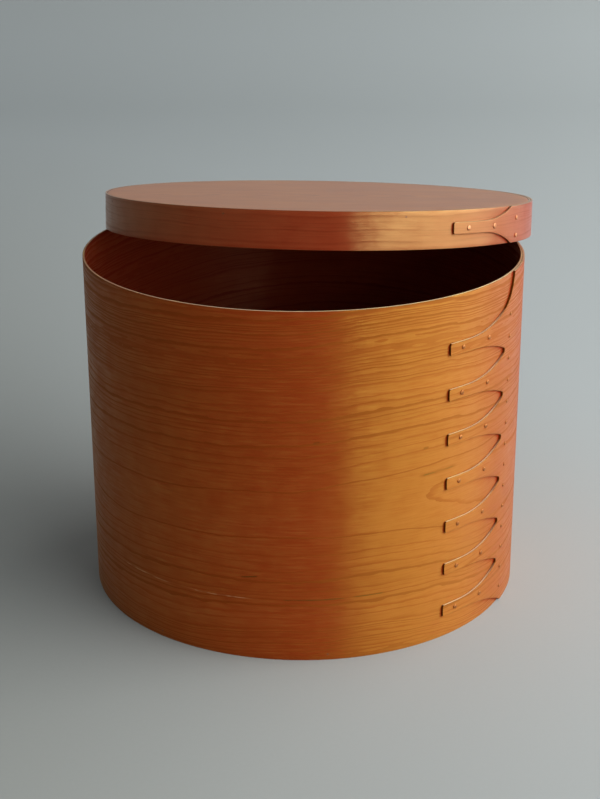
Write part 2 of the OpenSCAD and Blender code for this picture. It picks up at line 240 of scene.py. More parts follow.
def bent_strip(name, inner, thickness, columns, row_heights, sawn_away, lap_end, cut_from):
    """A flat strip with sawn fingers, bent to a lapped circle and thickened, with its edges eased."""
    step = thickness + lap_gap
    middle_radius = inner + thickness / 2
    feather = lap_end + 360
    while ramp_radius(feather - 360, inner, step, lap_end) - lap_gap - inner > feather_edge:
        columns.append(feather)
        feather += lap_step
    rows = [row_heights(direction) for direction in columns]
    row_count = len(rows[0])
    bpy.ops.mesh.primitive_grid_add(x_subdivisions=len(columns) - 1, y_subdivisions=row_count - 1, size=1,
                                    calc_uvs=False)
    strip = bpy.context.object
    strip.name = name
    strip.data.name = name
    # laid out flat: length along X, height along Y
    for point in strip.data.vertices:
        column = round((point.co.x + 0.5) * (len(columns) - 1))
        row = round((point.co.y + 0.5) * (row_count - 1))
        length = middle_radius * math.radians(columns[column])
        point.co = Vector((length * mm, rows[column][row] * mm, 0.0))
    # the gaps between the fingers are sawn out

    def in_gap(face):
        center = face.calc_center_median()
        return sawn_away(math.degrees(center.x / mm / middle_radius), center.y / mm)

    bpy.ops.object.mode_set(mode="EDIT")
    select_where(strip, "FACE", in_gap)
    bpy.ops.mesh.delete(type="FACE")
    bpy.ops.mesh.select_all(action="SELECT")
    bpy.ops.mesh.remove_doubles(threshold=merge_distance)
    bpy.ops.object.mode_set(mode="OBJECT")
    # the flat strip is its own map, so that the grain follows the bend
    flat_map = strip.data.uv_layers.new(name="strip")
    for corner in strip.data.loops:
        place = strip.data.vertices[corner.vertex_index].co
        flat_map.data[corner.index].uv = (place.x + cut_from[0] * mm, place.y + cut_from[1] * mm)
    # bent round, with the share of the full thickness noted for the feathered end
    share = strip.vertex_groups.new(name="thickness")
    for point in strip.data.vertices:
        direction = math.degrees(point.co.x / mm / middle_radius)
        radius = ramp_radius(direction, inner, step, lap_end)
        if direction > lap_end + 360:
            wedge = ramp_radius(direction - 360, inner, step, lap_end) - lap_gap - inner
            share.add([point.index], wedge / thickness, "REPLACE")
        else:
            share.add([point.index], 1.0, "REPLACE")
        turn = math.radians(direction)
        point.co = Vector((radius * math.cos(turn) * mm, radius * math.sin(turn) * mm, point.co.y))
    wall = strip.modifiers.new("wall", "SOLIDIFY")
    wall.thickness = thickness * mm
    wall.offset = 1.0
    wall.use_even_offset = True
    wall.vertex_group = "thickness"
    bpy.ops.object.modifier_apply(modifier="wall")
    # the sharp edges are eased, apart from the feathered end
    bpy.ops.object.mode_set(mode="EDIT")
    mesh = bmesh.from_edit_mesh(strip.data)
    weights = mesh.verts.layers.deform.verify()

    def sharp_and_full(edge):
        full = all(point[weights].get(share.index, 1.0) > full_share for point in edge.verts)
        return full and len(edge.link_faces) == 2 and edge.calc_face_angle() > sharp_angle

    select_where(strip, "EDGE", sharp_and_full)
    bpy.ops.mesh.bevel(offset=edge_rounding * mm, segments=2, profile=0.5, affect="EDGES", clamp_overlap=True)
    mesh = bmesh.from_edit_mesh(strip.data)
    # the side grain of the cut edges is rubbed pale, partly a painted highlight; the end grain drinks more
    # oil and is darker, partly painted shade
    wear_and_highlight_layer = mesh.faces.layers.float.new("wear_and_highlight_edge")
    end_grain = mesh.faces.layers.float.new("end_grain")
    for face in mesh.faces:
        outwards = face.calc_center_median()
        outwards.z = 0.0
        if abs(face.normal.dot(outwards.normalized())) < edge_look:
            side_grain = min(1.0, max(0.0, (abs(face.normal.z) - side_grain_look) / side_grain_blend))
            face[wear_and_highlight_layer] = side_grain
            face[end_grain] = 1.0 - side_grain
    bmesh.update_edit_mesh(strip.data)
    bpy.ops.object.mode_set(mode="OBJECT")
    strip.vertex_groups.clear()
    bpy.ops.object.shade_smooth_by_angle(angle=smooth_angle)
    return strip


corner_end = finger_direction + math.degrees(finger_corner / lap_outer_radius)
# from, to and step of each stretch of columns along the fingers, in degrees
box_stretches = [(finger_direction, corner_end, 0.09), (corner_end, nose_direction, 0.4),
                 (nose_direction, gap_direction, 0.05), (gap_direction, base_direction, 0.3),
                 (base_direction, rim_direction, 0.1)]
box_columns = strip_columns(box_stretches, lap_direction)
box_band = bent_strip("cherry_box_band", box_inner_radius, band_thickness, box_columns, box_rows, box_gap,
                      lap_direction, box_cut_from)


def hex_colour(code):
    """An sRGB hex colour as the linear colour that a shader takes."""
    channels = [int(code[k:k + 2], 16) / 255 for k in (1, 3, 5)]
    linear = [c / 12.92 if c <= 0.04045 else ((c + 0.055) / 1.055) ** 2.4 for c in channels]
    return (*linear, 1.0)


def set_node(tree, node, settings, links):
    """Gives a node its settings, by name or input, and links its inputs to other nodes or their outputs."""
    for key, value in settings.items():
        if isinstance(key, int) or key in node.inputs:
            node.inputs[key].default_value = value
        else:
            setattr(node, key, value)
    for key, source in links.items():
        if isinstance(source, bpy.types.Node):
            source = next(socket for socket in source.outputs if socket.enabled)
        tree.links.new(source, node.inputs[key])


def add_node(tree, kind, settings, links):
    """Adds a node with its settings and links."""
    node = tree.nodes.new(kind)
    set_node(tree, node, settings, links)
    return node


def new_material(name):
    """A material with that name, its node tree and its shader."""
    material = bpy.data.materials.new(name)
    material.use_nodes = True
    return material, material.node_tree, material.node_tree.nodes["Principled BSDF"]


def heart_distance(tree, side, depth):
    """Distance from the heart of a tree, by the distance to one side of it and its depth in the wood."""
    side_square = add_node(tree, "ShaderNodeMath", {"operation": "MULTIPLY"}, {0: side, 1: side})
    depth_square = add_node(tree, "ShaderNodeMath", {"operation": "MULTIPLY"}, {0: depth, 1: depth})
    square = add_node(tree, "ShaderNodeMath", {"operation": "ADD"}, {0: side_square, 1: depth_square})
    return add_node(tree, "ShaderNodeMath", {"operation": "SQRT"}, {0: square})


# Oiled cherry, sliced thin from a flat-sawn board and rubbed to a satin. It gives fine, faint growth lines
# that run round the band, a wide figure at half height, silky fibres, and a golden sheen drawn out across the
# fibres where light strikes them.
band_wood, tree, shader = new_material("oiled_cherry_band")
strip_map = add_node(tree, "ShaderNodeUVMap", {"uv_map": "strip"}, {})
strip_mm = add_node(tree, "ShaderNodeVectorMath", {"operation": "SCALE", "Scale": 1 / mm}, {0: strip_map})
strip_place = add_node(tree, "ShaderNodeSeparateXYZ", {}, {0: strip_mm})
along = strip_place.outputs["X"]
height = strip_place.outputs["Y"]

# Unevenness in the wood, drawn out along the grain: length and height in millimetres, detail and roughness.
# wave bends the growth lines slowly, waver makes each of them tremble, and fade lets them come and go. fibre
# is the silk of the wood, shimmer its soft clouds, and tone its redder and yellower bands. breaks part the
# pale gum streaks, and sway is what bending and scraping by hand leave.
uneven = {}
for name, length, rise, detail, roughness in (
        ("wave", 120, 40, 2.0, 0.5), ("waver", 16, 4, 2.0, 0.5), ("fade", 60, 9, 1.0, 0.5),
        ("fibre", 24, 1.1, 3.0, 0.6), ("shimmer", 14, 20, 4.0, 0.6), ("tone", 260, 22, 2.0, 0.5),
        ("breaks", 7, 3, 1.0, 0.5), ("sway", 45, 14, 2.0, 0.5)):
    drawn_out = add_node(tree, "ShaderNodeMapping", {"Scale": (1 / length, 1 / rise, 1.0)},
                         {"Vector": strip_mm})
    settings = {"noise_dimensions": "2D", "Scale": 1.0, "Detail": detail, "Roughness": roughness}
    uneven[name] = add_node(tree, "ShaderNodeTexNoise", settings, {"Vector": drawn_out})

# where the heart of the tree ran behind the strip: its height, and the number of rings out to the surface
strip_start = -150.0
strip_end = 1050.0
length_share = add_node(tree, "ShaderNodeMapRange", {"From Min": strip_start, "From Max": strip_end},
                        {"Value": along})
heart = add_node(tree, "ShaderNodeFloatCurve", {}, {"Value": length_share})
heart_points = [(0.0, 0.44), (0.15, 0.5), (0.32, 0.58), (0.46, 0.45), (0.576, 0.475), (0.624, 0.5),
                (0.675, 0.53), (0.719, 0.556), (0.763, 0.6), (0.796, 0.587), (0.82, 0.55), (0.9, 0.52),
                (1.0, 0.48)]
rings_out = add_node(tree, "ShaderNodeFloatCurve", {}, {"Value": length_share})
rings_points = [(0.0, 0.1), (0.12, 0.28), (0.3, 0.62), (0.45, 0.8), (0.576, 0.688), (0.624, 0.675),
                (0.675, 0.665), (0.719, 0.65), (0.741, 0.605), (0.778, 0.53), (0.789, 0.5), (0.805, 0.45),
                (0.87, 0.33), (1.0, 0.2)]
# how far the edges are made pale along the strip: much at the front and front right, towards the light, where
# this is a painted highlight of the lit edges, little at the left, back and right
wear_and_highlight_along = add_node(tree, "ShaderNodeFloatCurve", {}, {"Value": length_share})
wear_and_highlight_points = [(0.0, 0.85), (0.055, 0.85), (0.08, 0.4), (0.175, 0.3), (0.4, 0.35), (0.567, 0.35),
               (0.725, 0.9), (0.85, 0.9), (0.875, 0.4), (1.0, 0.4)]
for node, points in ((heart, heart_points), (rings_out, rings_points), (wear_and_highlight_along, wear_and_highlight_points)):
    curve = node.mapping.curves[0]
    curve.points[0].location = points[0]
    curve.points[-1].location = points[-1]
    for place in points[1:-1]:
        curve.points.new(*place)
    node.mapping.update()
heart_mm = add_node(tree, "ShaderNodeMapRange", {"To Min": 60.0, "To Max": 140.0}, {"Value": heart})
heart_rings = add_node(tree, "ShaderNodeMapRange", {"To Min": 48.0, "To Max": 52.0}, {"Value": rings_out})

# distance from the heart in rings of 2.2 mm, and between growth lines on the surface, widest over the heart
ring_width = 2.2
heart_half_height = 6.0
wave_mm = add_node(tree, "ShaderNodeMapRange", {"To Min": -4.0, "To Max": 4.0}, {"Value": uneven["wave"]})
from_heart = add_node(tree, "ShaderNodeMath", {"operation": "SUBTRACT"}, {0: height, 1: heart_mm})
off_heart = add_node(tree, "ShaderNodeMath", {"operation": "ADD"}, {0: from_heart, 1: wave_mm})
side_rings = add_node(tree, "ShaderNodeMath", {"operation": "DIVIDE", 1: ring_width}, {0: off_heart})
ring_smooth = heart_distance(tree, side_rings, heart_rings)
side_size = add_node(tree, "ShaderNodeMath", {"operation": "ABSOLUTE"}, {0: off_heart})
side_most = add_node(tree, "ShaderNodeMath", {"operation": "MAXIMUM", 1: heart_half_height}, {0: side_size})
ring_stretch = add_node(tree, "ShaderNodeMath", {"operation": "MULTIPLY", 1: ring_width ** 2},
                        {0: ring_smooth})
line_spacing = add_node(tree, "ShaderNodeMath", {"operation": "DIVIDE"}, {0: ring_stretch, 1: side_most})
waver_mm = add_node(tree, "ShaderNodeMapRange", {"To Min": -0.8, "To Max": 0.8}, {"Value": uneven["waver"]})
waver_rings = add_node(tree, "ShaderNodeMath", {"operation": "DIVIDE"}, {0: waver_mm, 1: line_spacing})
# lean and fat years: the rings stand closer or wider in turn, over some five rings
years_in_turn = 5
years_scale = add_node(tree, "ShaderNodeMath", {"operation": "MULTIPLY", 1: 1 / years_in_turn},
                       {0: ring_smooth})
years = add_node(tree, "ShaderNodeTexNoise", {"noise_dimensions": "1D", "Scale": 1.0, "Detail": 2.0},
                 {"W": years_scale})
years_rings = add_node(tree, "ShaderNodeMapRange", {"To Min": -2.4, "To Max": 2.4}, {"Value": years})
ring_uneven = add_node(tree, "ShaderNodeMath", {"operation": "ADD"}, {0: ring_smooth, 1: years_rings})
ring = add_node(tree, "ShaderNodeMath", {"operation": "ADD"}, {0: ring_uneven, 1: waver_rings})
ring_part = add_node(tree, "ShaderNodeMath", {"operation": "FRACT"}, {0: ring})
ring_number = add_node(tree, "ShaderNodeMath", {"operation": "FLOOR"}, {0: ring})
# distance to the next growth line in millimetres, the thin line itself, and the broader late wood before it
line_width = 1.7
late_wood_width = 5.0
to_line = add_node(tree, "ShaderNodeMath", {"operation": "SUBTRACT", 0: 1.0}, {1: ring_part})
line_mm = add_node(tree, "ShaderNodeMath", {"operation": "MULTIPLY"}, {0: to_line, 1: line_spacing})
line = add_node(tree, "ShaderNodeMapRange",
                {"interpolation_type": "SMOOTHSTEP", "From Min": 0.0, "From Max": line_width,
                 "To Min": 1.0, "To Max": 0.0}, {"Value": line_mm})
late_wood = add_node(tree, "ShaderNodeMapRange",
                     {"interpolation_type": "SMOOTHSTEP", "From Min": 0.0, "From Max": late_wood_width,
                      "To Min": 1.0, "To Max": 0.0}, {"Value": line_mm})
# each line has its own strength, as summers differ, and fades in and out along the strip
summer = add_node(tree, "ShaderNodeTexWhiteNoise", {"noise_dimensions": "1D"}, {"W": ring_number})
summer_heat = add_node(tree, "ShaderNodeMath", {"operation": "POWER", 1: 2.2}, {0: summer})
summer_strength = add_node(tree, "ShaderNodeMapRange", {"To Min": 0.34, "To Max": 1.75},
                           {"Value": summer_heat})
fade_share = add_node(tree, "ShaderNodeMapRange",
                      {"From Min": 0.3, "From Max": 0.7, "To Min": 0.45, "To Max": 1.0},
                      {"Value": uneven["fade"]})
line_strength = add_node(tree, "ShaderNodeMath", {"operation": "MULTIPLY"},
                         {0: summer_strength, 1: fade_share})
line_dark = add_node(tree, "ShaderNodeMath", {"operation": "MULTIPLY"}, {0: line, 1: line_strength})

# gum streaks and small knots: from and to along the strip, height there, half height, and how dark or pale.
# Each fades out over its last fifth at both ends.
streaks = [(564, 622, 43.0, 43.0, 0.25, -0.5), (628, 686, 42.8, 43.6, 0.25, -0.45),
           (698, 742, 43.7, 44.4, 0.4, 0.6), (744, 770, 44.5, 45.3, 0.4, 0.5),
           (671, 684, 58.6, 60.0, 0.35, 1.3), (789, 824, 123.4, 123.3, 0.8, 0.8),
           (719, 724, 154.0, 154.6, 0.6, 0.7), (793, 798, 141.6, 141.8, 0.7, 0.7)]
streak_place = add_node(tree, "ShaderNodeMath", {"operation": "ADD"}, {0: waver_mm, 1: height})
strongest_streak = {}
for start, end, start_height, end_height, half, depth in streaks:
    place = add_node(tree, "ShaderNodeMapRange",
                     {"From Min": start, "From Max": end, "To Min": start_height, "To Max": end_height},
                     {"Value": along})
    off = add_node(tree, "ShaderNodeMath", {"operation": "SUBTRACT"}, {0: streak_place, 1: place})
    size = add_node(tree, "ShaderNodeMath", {"operation": "ABSOLUTE"}, {0: off})
    across = add_node(tree, "ShaderNodeMapRange",
                      {"interpolation_type": "SMOOTHSTEP", "From Min": 0.0, "From Max": 2 * half,
                       "To Min": abs(depth), "To Max": 0.0}, {"Value": size})
    middle = add_node(tree, "ShaderNodeMath", {"operation": "SUBTRACT", 1: (start + end) / 2}, {0: along})
    reach = add_node(tree, "ShaderNodeMath", {"operation": "ABSOLUTE"}, {0: middle})
    ends = add_node(tree, "ShaderNodeMapRange",
                    {"interpolation_type": "SMOOTHSTEP", "From Min": 0.5 * (end - start),
                     "From Max": 0.3 * (end - start)}, {"Value": reach})
    streak = add_node(tree, "ShaderNodeMath", {"operation": "MULTIPLY"}, {0: across, 1: ends})
    look = "pale" if depth < 0 else "dark"
    if look in strongest_streak:
        streak = add_node(tree, "ShaderNodeMath", {"operation": "MAXIMUM"},
                          {0: strongest_streak[look], 1: streak})
    strongest_streak[look] = streak
gum = strongest_streak["dark"]
# the pale streaks are broken up
breaks_share = add_node(tree, "ShaderNodeMapRange",
                        {"From Min": 0.35, "From Max": 0.6, "To Min": 0.2, "To Max": 1.0},
                        {"Value": uneven["breaks"]})
pale_share = add_node(tree, "ShaderNodeMath", {"operation": "MULTIPLY"},
                      {0: strongest_streak["pale"], 1: breaks_share})

# how light the wood is, from gum at 0 to the palest fibres at 1
line_floor = 0.12
shade_fibre = add_node(tree, "ShaderNodeMapRange", {"To Min": 0.37, "To Max": 0.87},
                       {"Value": uneven["fibre"]})
shade_shimmer = add_node(tree, "ShaderNodeMapRange", {"To Min": -0.08, "To Max": 0.08},
                         {"Value": uneven["shimmer"]})
shade_tone = add_node(tree, "ShaderNodeMapRange", {"To Min": -0.2, "To Max": 0.2},
                      {"Value": uneven["tone"]})
shade_soft = add_node(tree, "ShaderNodeMath", {"operation": "ADD"}, {0: shade_fibre, 1: shade_shimmer})
shade_wide = add_node(tree, "ShaderNodeMath", {"operation": "ADD"}, {0: shade_soft, 1: shade_tone})
shade_late = add_node(tree, "ShaderNodeMath", {"operation": "MULTIPLY_ADD", 1: -0.05},
                      {0: late_wood, 2: shade_wide})
shade_line = add_node(tree, "ShaderNodeMath", {"operation": "MULTIPLY_ADD", 1: -0.85},
                      {0: line_dark, 2: shade_late})
shade_wood = add_node(tree, "ShaderNodeMath", {"operation": "MAXIMUM", 1: line_floor}, {0: shade_line})
shade = add_node(tree, "ShaderNodeMath", {"operation": "MULTIPLY_ADD", 1: -0.8}, {0: gum, 2: shade_wood})
wood_tones = add_node(tree, "ShaderNodeValToRGB", {}, {"Fac": shade})
wood_stops = [(0.0, "#54120a"), (0.1, "#801304"), (0.62, "#92240f"), (0.95, "#9c371e")]
elements = wood_tones.color_ramp.elements
elements[0].position = wood_stops[0][0]
elements[1].position = wood_stops[-1][0]
for position, code in wood_stops[1:-1]:
    elements.new(position)
for element, (position, code) in zip(elements, wood_stops):
    element.color = hex_colour(code)
gum_tint = add_node(tree, "ShaderNodeMix", {"data_type": "RGBA", "B": hex_colour("#e2b888")},
                    {"Factor": pale_share, "A": wood_tones})
# rubbed edges are paler than the face, partly a painted highlight; end grain is darker, partly painted shade
# the pale edge tint is wear and also a painted highlight where light catches the rim and the finger edges
wear_and_highlight_edge = add_node(tree, "ShaderNodeAttribute", {"attribute_name": "wear_and_highlight_edge"}, {})
edge_wear_and_highlight = add_node(tree, "ShaderNodeMath", {"operation": "MULTIPLY"},
                      {0: wear_and_highlight_edge.outputs["Fac"], 1: wear_and_highlight_along})
edge_wear_and_highlight_tint = add_node(tree, "ShaderNodeMix", {"data_type": "RGBA", "B": hex_colour("#f8dab6")},
                     {"Factor": edge_wear_and_highlight, "A": gum_tint})
# the dark end tint is oiled end grain and also painted shade on the finger tips and gap noses that face away
# from the light
end_grain = add_node(tree, "ShaderNodeAttribute", {"attribute_name": "end_grain"}, {})
end_grain_and_shade_share = add_node(tree, "ShaderNodeMath", {"operation": "MULTIPLY", 1: 0.8},
                     {0: end_grain.outputs["Fac"]})
end_grain_and_shade_tint = add_node(tree, "ShaderNodeMix", {"data_type": "RGBA", "B": hex_colour("#2c0c03")},
                    {"Factor": end_grain_and_shade_share, "A": edge_wear_and_highlight_tint})
# growth lines and gum are duller than the silky wood between them, and nothing shines like a mirror
gloss_floor = 0.3
gloss_fibre = add_node(tree, "ShaderNodeMapRange",
                       {"From Min": 0.2, "From Max": 0.8, "To Min": 0.8, "To Max": 0.42},
                       {"Value": uneven["fibre"]})
gloss_shimmer = add_node(tree, "ShaderNodeMath", {"operation": "MULTIPLY_ADD", 1: -0.3},
                         {0: uneven["shimmer"], 2: gloss_fibre})
gloss_line = add_node(tree, "ShaderNodeMath", {"operation": "MULTIPLY_ADD", 1: 1.9},
                      {0: line_dark, 2: gloss_shimmer})
gloss_least = add_node(tree, "ShaderNodeMath", {"operation": "MAXIMUM", 1: gloss_floor}, {0: gloss_line})
gloss = add_node(tree, "ShaderNodeMath", {"operation": "MULTIPLY_ADD", 1: 0.6}, {0: gum, 2: gloss_least})
# the hand-bent and scraped strip sways a little, and its grain stands up finely
sway_relief = add_node(tree, "ShaderNodeBump", {"Strength": 0.6, "Distance": 1.0 * mm},
                       {"Height": uneven["sway"]})
relief = add_node(tree, "ShaderNodeBump", {"Strength": 0.12, "Distance": 0.12 * mm},
                  {"Height": shade, "Normal": sway_relief})
fibre_run = add_node(tree, "ShaderNodeTangent", {"direction_type": "UV_MAP", "uv_map": "strip"}, {})
set_node(tree, shader,
         {"Anisotropic": 1.0, "Anisotropic Rotation": 0.25, "IOR": 1.8, "Specular IOR Level": 1.0,
          "Specular Tint": hex_colour("#ffe25c")},
         {"Base Color": end_grain_and_shade_tint, "Roughness": gloss, "Normal": relief, "Tangent": fibre_run})

# The same cherry without oil. It gives the inside of the bands a plainer, browner look with less sheen.
inside_wood = band_wood.copy()
inside_wood.name = "bare_cherry_inside"
tree = inside_wood.node_tree
set_node(tree, tree.nodes["Principled BSDF"],
         {"IOR": 1.5, "Specular IOR Level": 0.5, "Specular Tint": hex_colour("#ffc8a0")}, {})
inside_codes = ["#2c0803", "#742010", "#823218", "#8e4424"]
for element, code in zip(tree.nodes[wood_tones.name].color_ramp.elements, inside_codes):
    element.color = hex_colour(code)


def bare_inside(strip, outside_finish, inside_finish):
    """Gives the faces of a strip that look to its middle the inside finish, the others the outside one."""
    strip.data.materials.append(outside_finish)
    strip.data.materials.append(inside_finish)
    for face in strip.data.polygons:
        inwards = face.normal.x * face.center.x + face.normal.y * face.center.y
        face.material_index = 1 if inwards < -inward_look * math.hypot(face.center.x, face.center.y) else 0


bare_inside(box_band, band_wood, inside_wood)
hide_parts("box_band")
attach(box_band, "box")


# Bottom board
# A round board of solid cherry, sawn and turned to fit inside the band, flush with its lower edge. It is held
# by pegs through the band.
bottom_thickness = 8.0
board_gap = 0.1
board_edge = 0.5
board_sides = 180
board_rim_ring = 2.0
board_middle_share = 0.5


def round_board(name, radius, low, thickness):
    """A turned board with eased edges, and its own flat map in metres."""
    bpy.ops.object.select_all(action="DESELECT")
    bpy.ops.mesh.primitive_cylinder_add(vertices=board_sides, radius=radius * mm, depth=thickness * mm,
                                        end_fill_type="NGON", location=(0.0, 0.0, 0.0), calc_uvs=False)
    board = bpy.context.object
    board.name = name
    board.data.name = name
    bpy.ops.object.mode_set(mode="EDIT")
    select_where(board, "EDGE", lambda edge: abs(edge.verts[0].co.z - edge.verts[1].co.z) < merge_distance)
    bpy.ops.mesh.bevel(offset=board_edge * mm, segments=2, profile=0.5, affect="EDGES")
    # rings of faces towards the middle keep the shading of the two large faces even
    select_where(board, "FACE", lambda face: len(face.verts) > 4)
    bpy.ops.mesh.inset(thickness=board_rim_ring * mm)
    bpy.ops.mesh.inset(thickness=board_middle_share * radius * mm)
    bpy.ops.object.mode_set(mode="OBJECT")
    flat_map = board.data.uv_layers.new(name="board")
    for corner in board.data.loops:
        place = board.data.vertices[corner.vertex_index].co
        flat_map.data[corner.index].uv = (place.x, place.y)
    board.data.transform(Matrix.Translation((0.0, 0.0, (low + thickness / 2) * mm)))
    bpy.ops.object.shade_smooth_by_angle(angle=smooth_angle)
    return board


bottom_board = round_board("cherry_bottom_board", box_inner_radius - board_gap, 0.0, bottom_thickness)

# Planed and oiled cherry board. It gives broad, quiet figure in long flat arches across the whole board, with
# fine fibres along it, and a satin gloss.
board_wood, tree, shader = new_material("oiled_cherry_board")
board_map = add_node(tree, "ShaderNodeUVMap", {"uv_map": "board"}, {})
board_turn = math.radians(-7.0)
board_mm = add_node(tree, "ShaderNodeMapping",
                    {"Rotation": (0.0, 0.0, board_turn), "Scale": (1 / mm, 1 / mm, 1.0)},
                    {"Vector": board_map})
# unevenness in the board, drawn out as in the band: bend of its growth lines, silky fibres, clouds of tone
plank = {}
for name, length, rise, detail, roughness in (
        ("bend", 180, 60, 3.0, 0.5), ("fibre", 25, 0.8, 3.0, 0.6), ("cloud", 70, 28, 3.0, 0.5)):
    drawn_out = add_node(tree, "ShaderNodeMapping", {"Scale": (1 / length, 1 / rise, 1.0)},
                         {"Vector": board_mm})
    settings = {"noise_dimensions": "2D", "Scale": 1.0, "Detail": detail, "Roughness": roughness}
    plank[name] = add_node(tree, "ShaderNodeTexNoise", settings, {"Vector": drawn_out})
# growth lines about 4 mm apart: long arches near the middle of the board, almost straight towards its sides
arch_width = 4.0
arch_length = 36.0
middle_rings = 9.0
board_place = add_node(tree, "ShaderNodeSeparateXYZ", {}, {0: board_mm})
arch_bend_mm = add_node(tree, "ShaderNodeMapRange", {"To Min": -4.0, "To Max": 36.0},
                        {"Value": plank["bend"]})
arch_off = add_node(tree, "ShaderNodeMath", {"operation": "ADD"},
                    {0: board_place.outputs["Y"], 1: arch_bend_mm})
arch_side = add_node(tree, "ShaderNodeMath", {"operation": "DIVIDE", 1: arch_width}, {0: arch_off})
arch_depth = add_node(tree, "ShaderNodeMath",
                      {"operation": "MULTIPLY_ADD", 1: 1 / arch_length, 2: middle_rings},
                      {0: board_place.outputs["X"]})
arch_ring = heart_distance(tree, arch_side, arch_depth)
arch_part = add_node(tree, "ShaderNodeMath", {"operation": "FRACT"}, {0: arch_ring})
arch_number = add_node(tree, "ShaderNodeMath", {"operation": "FLOOR"}, {0: arch_ring})
arch_summer = add_node(tree, "ShaderNodeTexWhiteNoise", {"noise_dimensions": "1D"}, {"W": arch_number})
arch_strength = add_node(tree, "ShaderNodeMapRange", {"To Min": 0.25, "To Max": 1.0},
                         {"Value": arch_summer})
arch_late = add_node(tree, "ShaderNodeMapRange",
                     {"interpolation_type": "SMOOTHSTEP", "From Min": 0.45, "From Max": 1.0},
                     {"Value": arch_part})
arch_line = add_node(tree, "ShaderNodeMath", {"operation": "MULTIPLY"}, {0: arch_late, 1: arch_strength})
plank_soft = add_node(tree, "ShaderNodeMapRange", {"To Min": 0.44, "To Max": 0.94},
                      {"Value": plank["fibre"]})
plank_tone = add_node(tree, "ShaderNodeMapRange", {"To Min": -0.16, "To Max": 0.16},
                      {"Value": plank["cloud"]})
plank_wide = add_node(tree, "ShaderNodeMath", {"operation": "ADD"}, {0: plank_soft, 1: plank_tone})
plank_shade = add_node(tree, "ShaderNodeMath", {"operation": "MULTIPLY_ADD", 1: -0.22},
                       {0: arch_line, 2: plank_wide})
plank_tones = add_node(tree, "ShaderNodeValToRGB", {}, {"Fac": plank_shade})
plank_stops = [(0.05, "#6c2c08"), (0.4, "#aa4e14"), (0.62, "#cc7020"), (0.9, "#de8a34")]
elements = plank_tones.color_ramp.elements
elements[0].position = plank_stops[0][0]
elements[1].position = plank_stops[-1][0]
for position, code in plank_stops[1:-1]:
    elements.new(position)
for element, (position, code) in zip(elements, plank_stops):
    element.color = hex_colour(code)
plank_gloss = add_node(tree, "ShaderNodeMapRange", {"To Min": 0.4, "To Max": 0.3},
                       {"Value": plank["fibre"]})
plank_relief = add_node(tree, "ShaderNodeBump", {"Strength": 0.25, "Distance": 0.12 * mm},
                        {"Height": plank_shade})
set_node(tree, shader, {"IOR": 1.5, "Coat Weight": 0.5, "Coat Roughness": 0.28},
         {"Base Color": plank_tones, "Roughness": plank_gloss, "Normal": plank_relief})
bottom_board.data.materials.append(board_wood)
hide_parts("bottom_board")
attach(bottom_board, "box")


# Bottom pegs
# Six thin wooden pegs, split from hard wood and driven through the band into the edge of the bottom board.
# They are pared off flush, so only their small end grain shows.
peg_radius = 0.9
peg_length = 14.0
peg_count = 6
peg_spacing = 45.0
peg_taper = 0.7
peg_edge = 0.15
peg_sides = 14
# a face that looks this far along a peg or a tack is an end of it
end_look = 0.9
bottom_peg_direction = -84.0


def facing(direction, height):
    """Turns a piece that points up so that it points outwards, at a direction and height in millimetres."""
    turn = Matrix.Rotation(math.radians(direction), 4, "Z")
    lift = Matrix.Translation((0.0, 0.0, height * mm))
    return turn @ lift @ Matrix.Rotation(math.radians(90), 4, "Y")


def join_copies(name, model, places):
    """Copies of a modelled piece, each at its place, joined to one object."""
    bpy.ops.object.select_all(action="DESELECT")
    copies = []
    for place in places:
        copy = model.copy()
        copy.data = model.data.copy()
        bpy.context.scene.collection.objects.link(copy)
        copy.data.transform(place)
        copies.append(copy)
    bpy.data.objects.remove(model)
    for copy in copies:
        copy.select_set(True)
    bpy.context.view_layer.objects.active = copies[0]
    bpy.ops.object.join()
    joined = bpy.context.object
    joined.name = name
    joined.data.name = name
    return joined


def wooden_peg(outside):
    """A peg that points up, with its pared outer end flush with the band and its inner end tapered."""
    bpy.ops.object.select_all(action="DESELECT")
    bpy.ops.mesh.primitive_cylinder_add(vertices=peg_sides, radius=peg_radius * mm, depth=peg_length * mm,
                                        calc_uvs=False, location=(0.0, 0.0, 0.0))
    peg = bpy.context.object
    peg.data.transform(Matrix.Translation((0.0, 0.0, (outside - peg_length / 2) * mm)))
    bpy.ops.object.mode_set(mode="EDIT")
    select_where(peg, "FACE", lambda face: face.normal.z < -end_look)
    bpy.ops.transform.resize(value=(peg_taper, peg_taper, 1.0), center_override=(0.0, 0.0, 0.0))
    select_where(peg, "FACE", lambda face: face.normal.z > end_look)
    bpy.ops.mesh.bevel(offset=peg_edge * mm, segments=1, affect="EDGES")
    bpy.ops.object.mode_set(mode="OBJECT")
    bpy.ops.object.shade_smooth_by_angle(angle=smooth_angle)
    return peg


bottom_peg_places = []
for number in range(peg_count):
    bottom_peg_places.append(facing(bottom_peg_direction - number * peg_spacing, bottom_thickness / 2))
bottom_pegs = join_copies("wooden_bottom_pegs", wooden_peg(box_outer_radius), bottom_peg_places)

# End grain of a pared hardwood peg. It drinks more oil than the band, so it is darker, dull and finely
# speckled.
peg_wood, tree, shader = new_material("oiled_peg_end_grain")
peg_place = add_node(tree, "ShaderNodeTexCoord", {}, {})
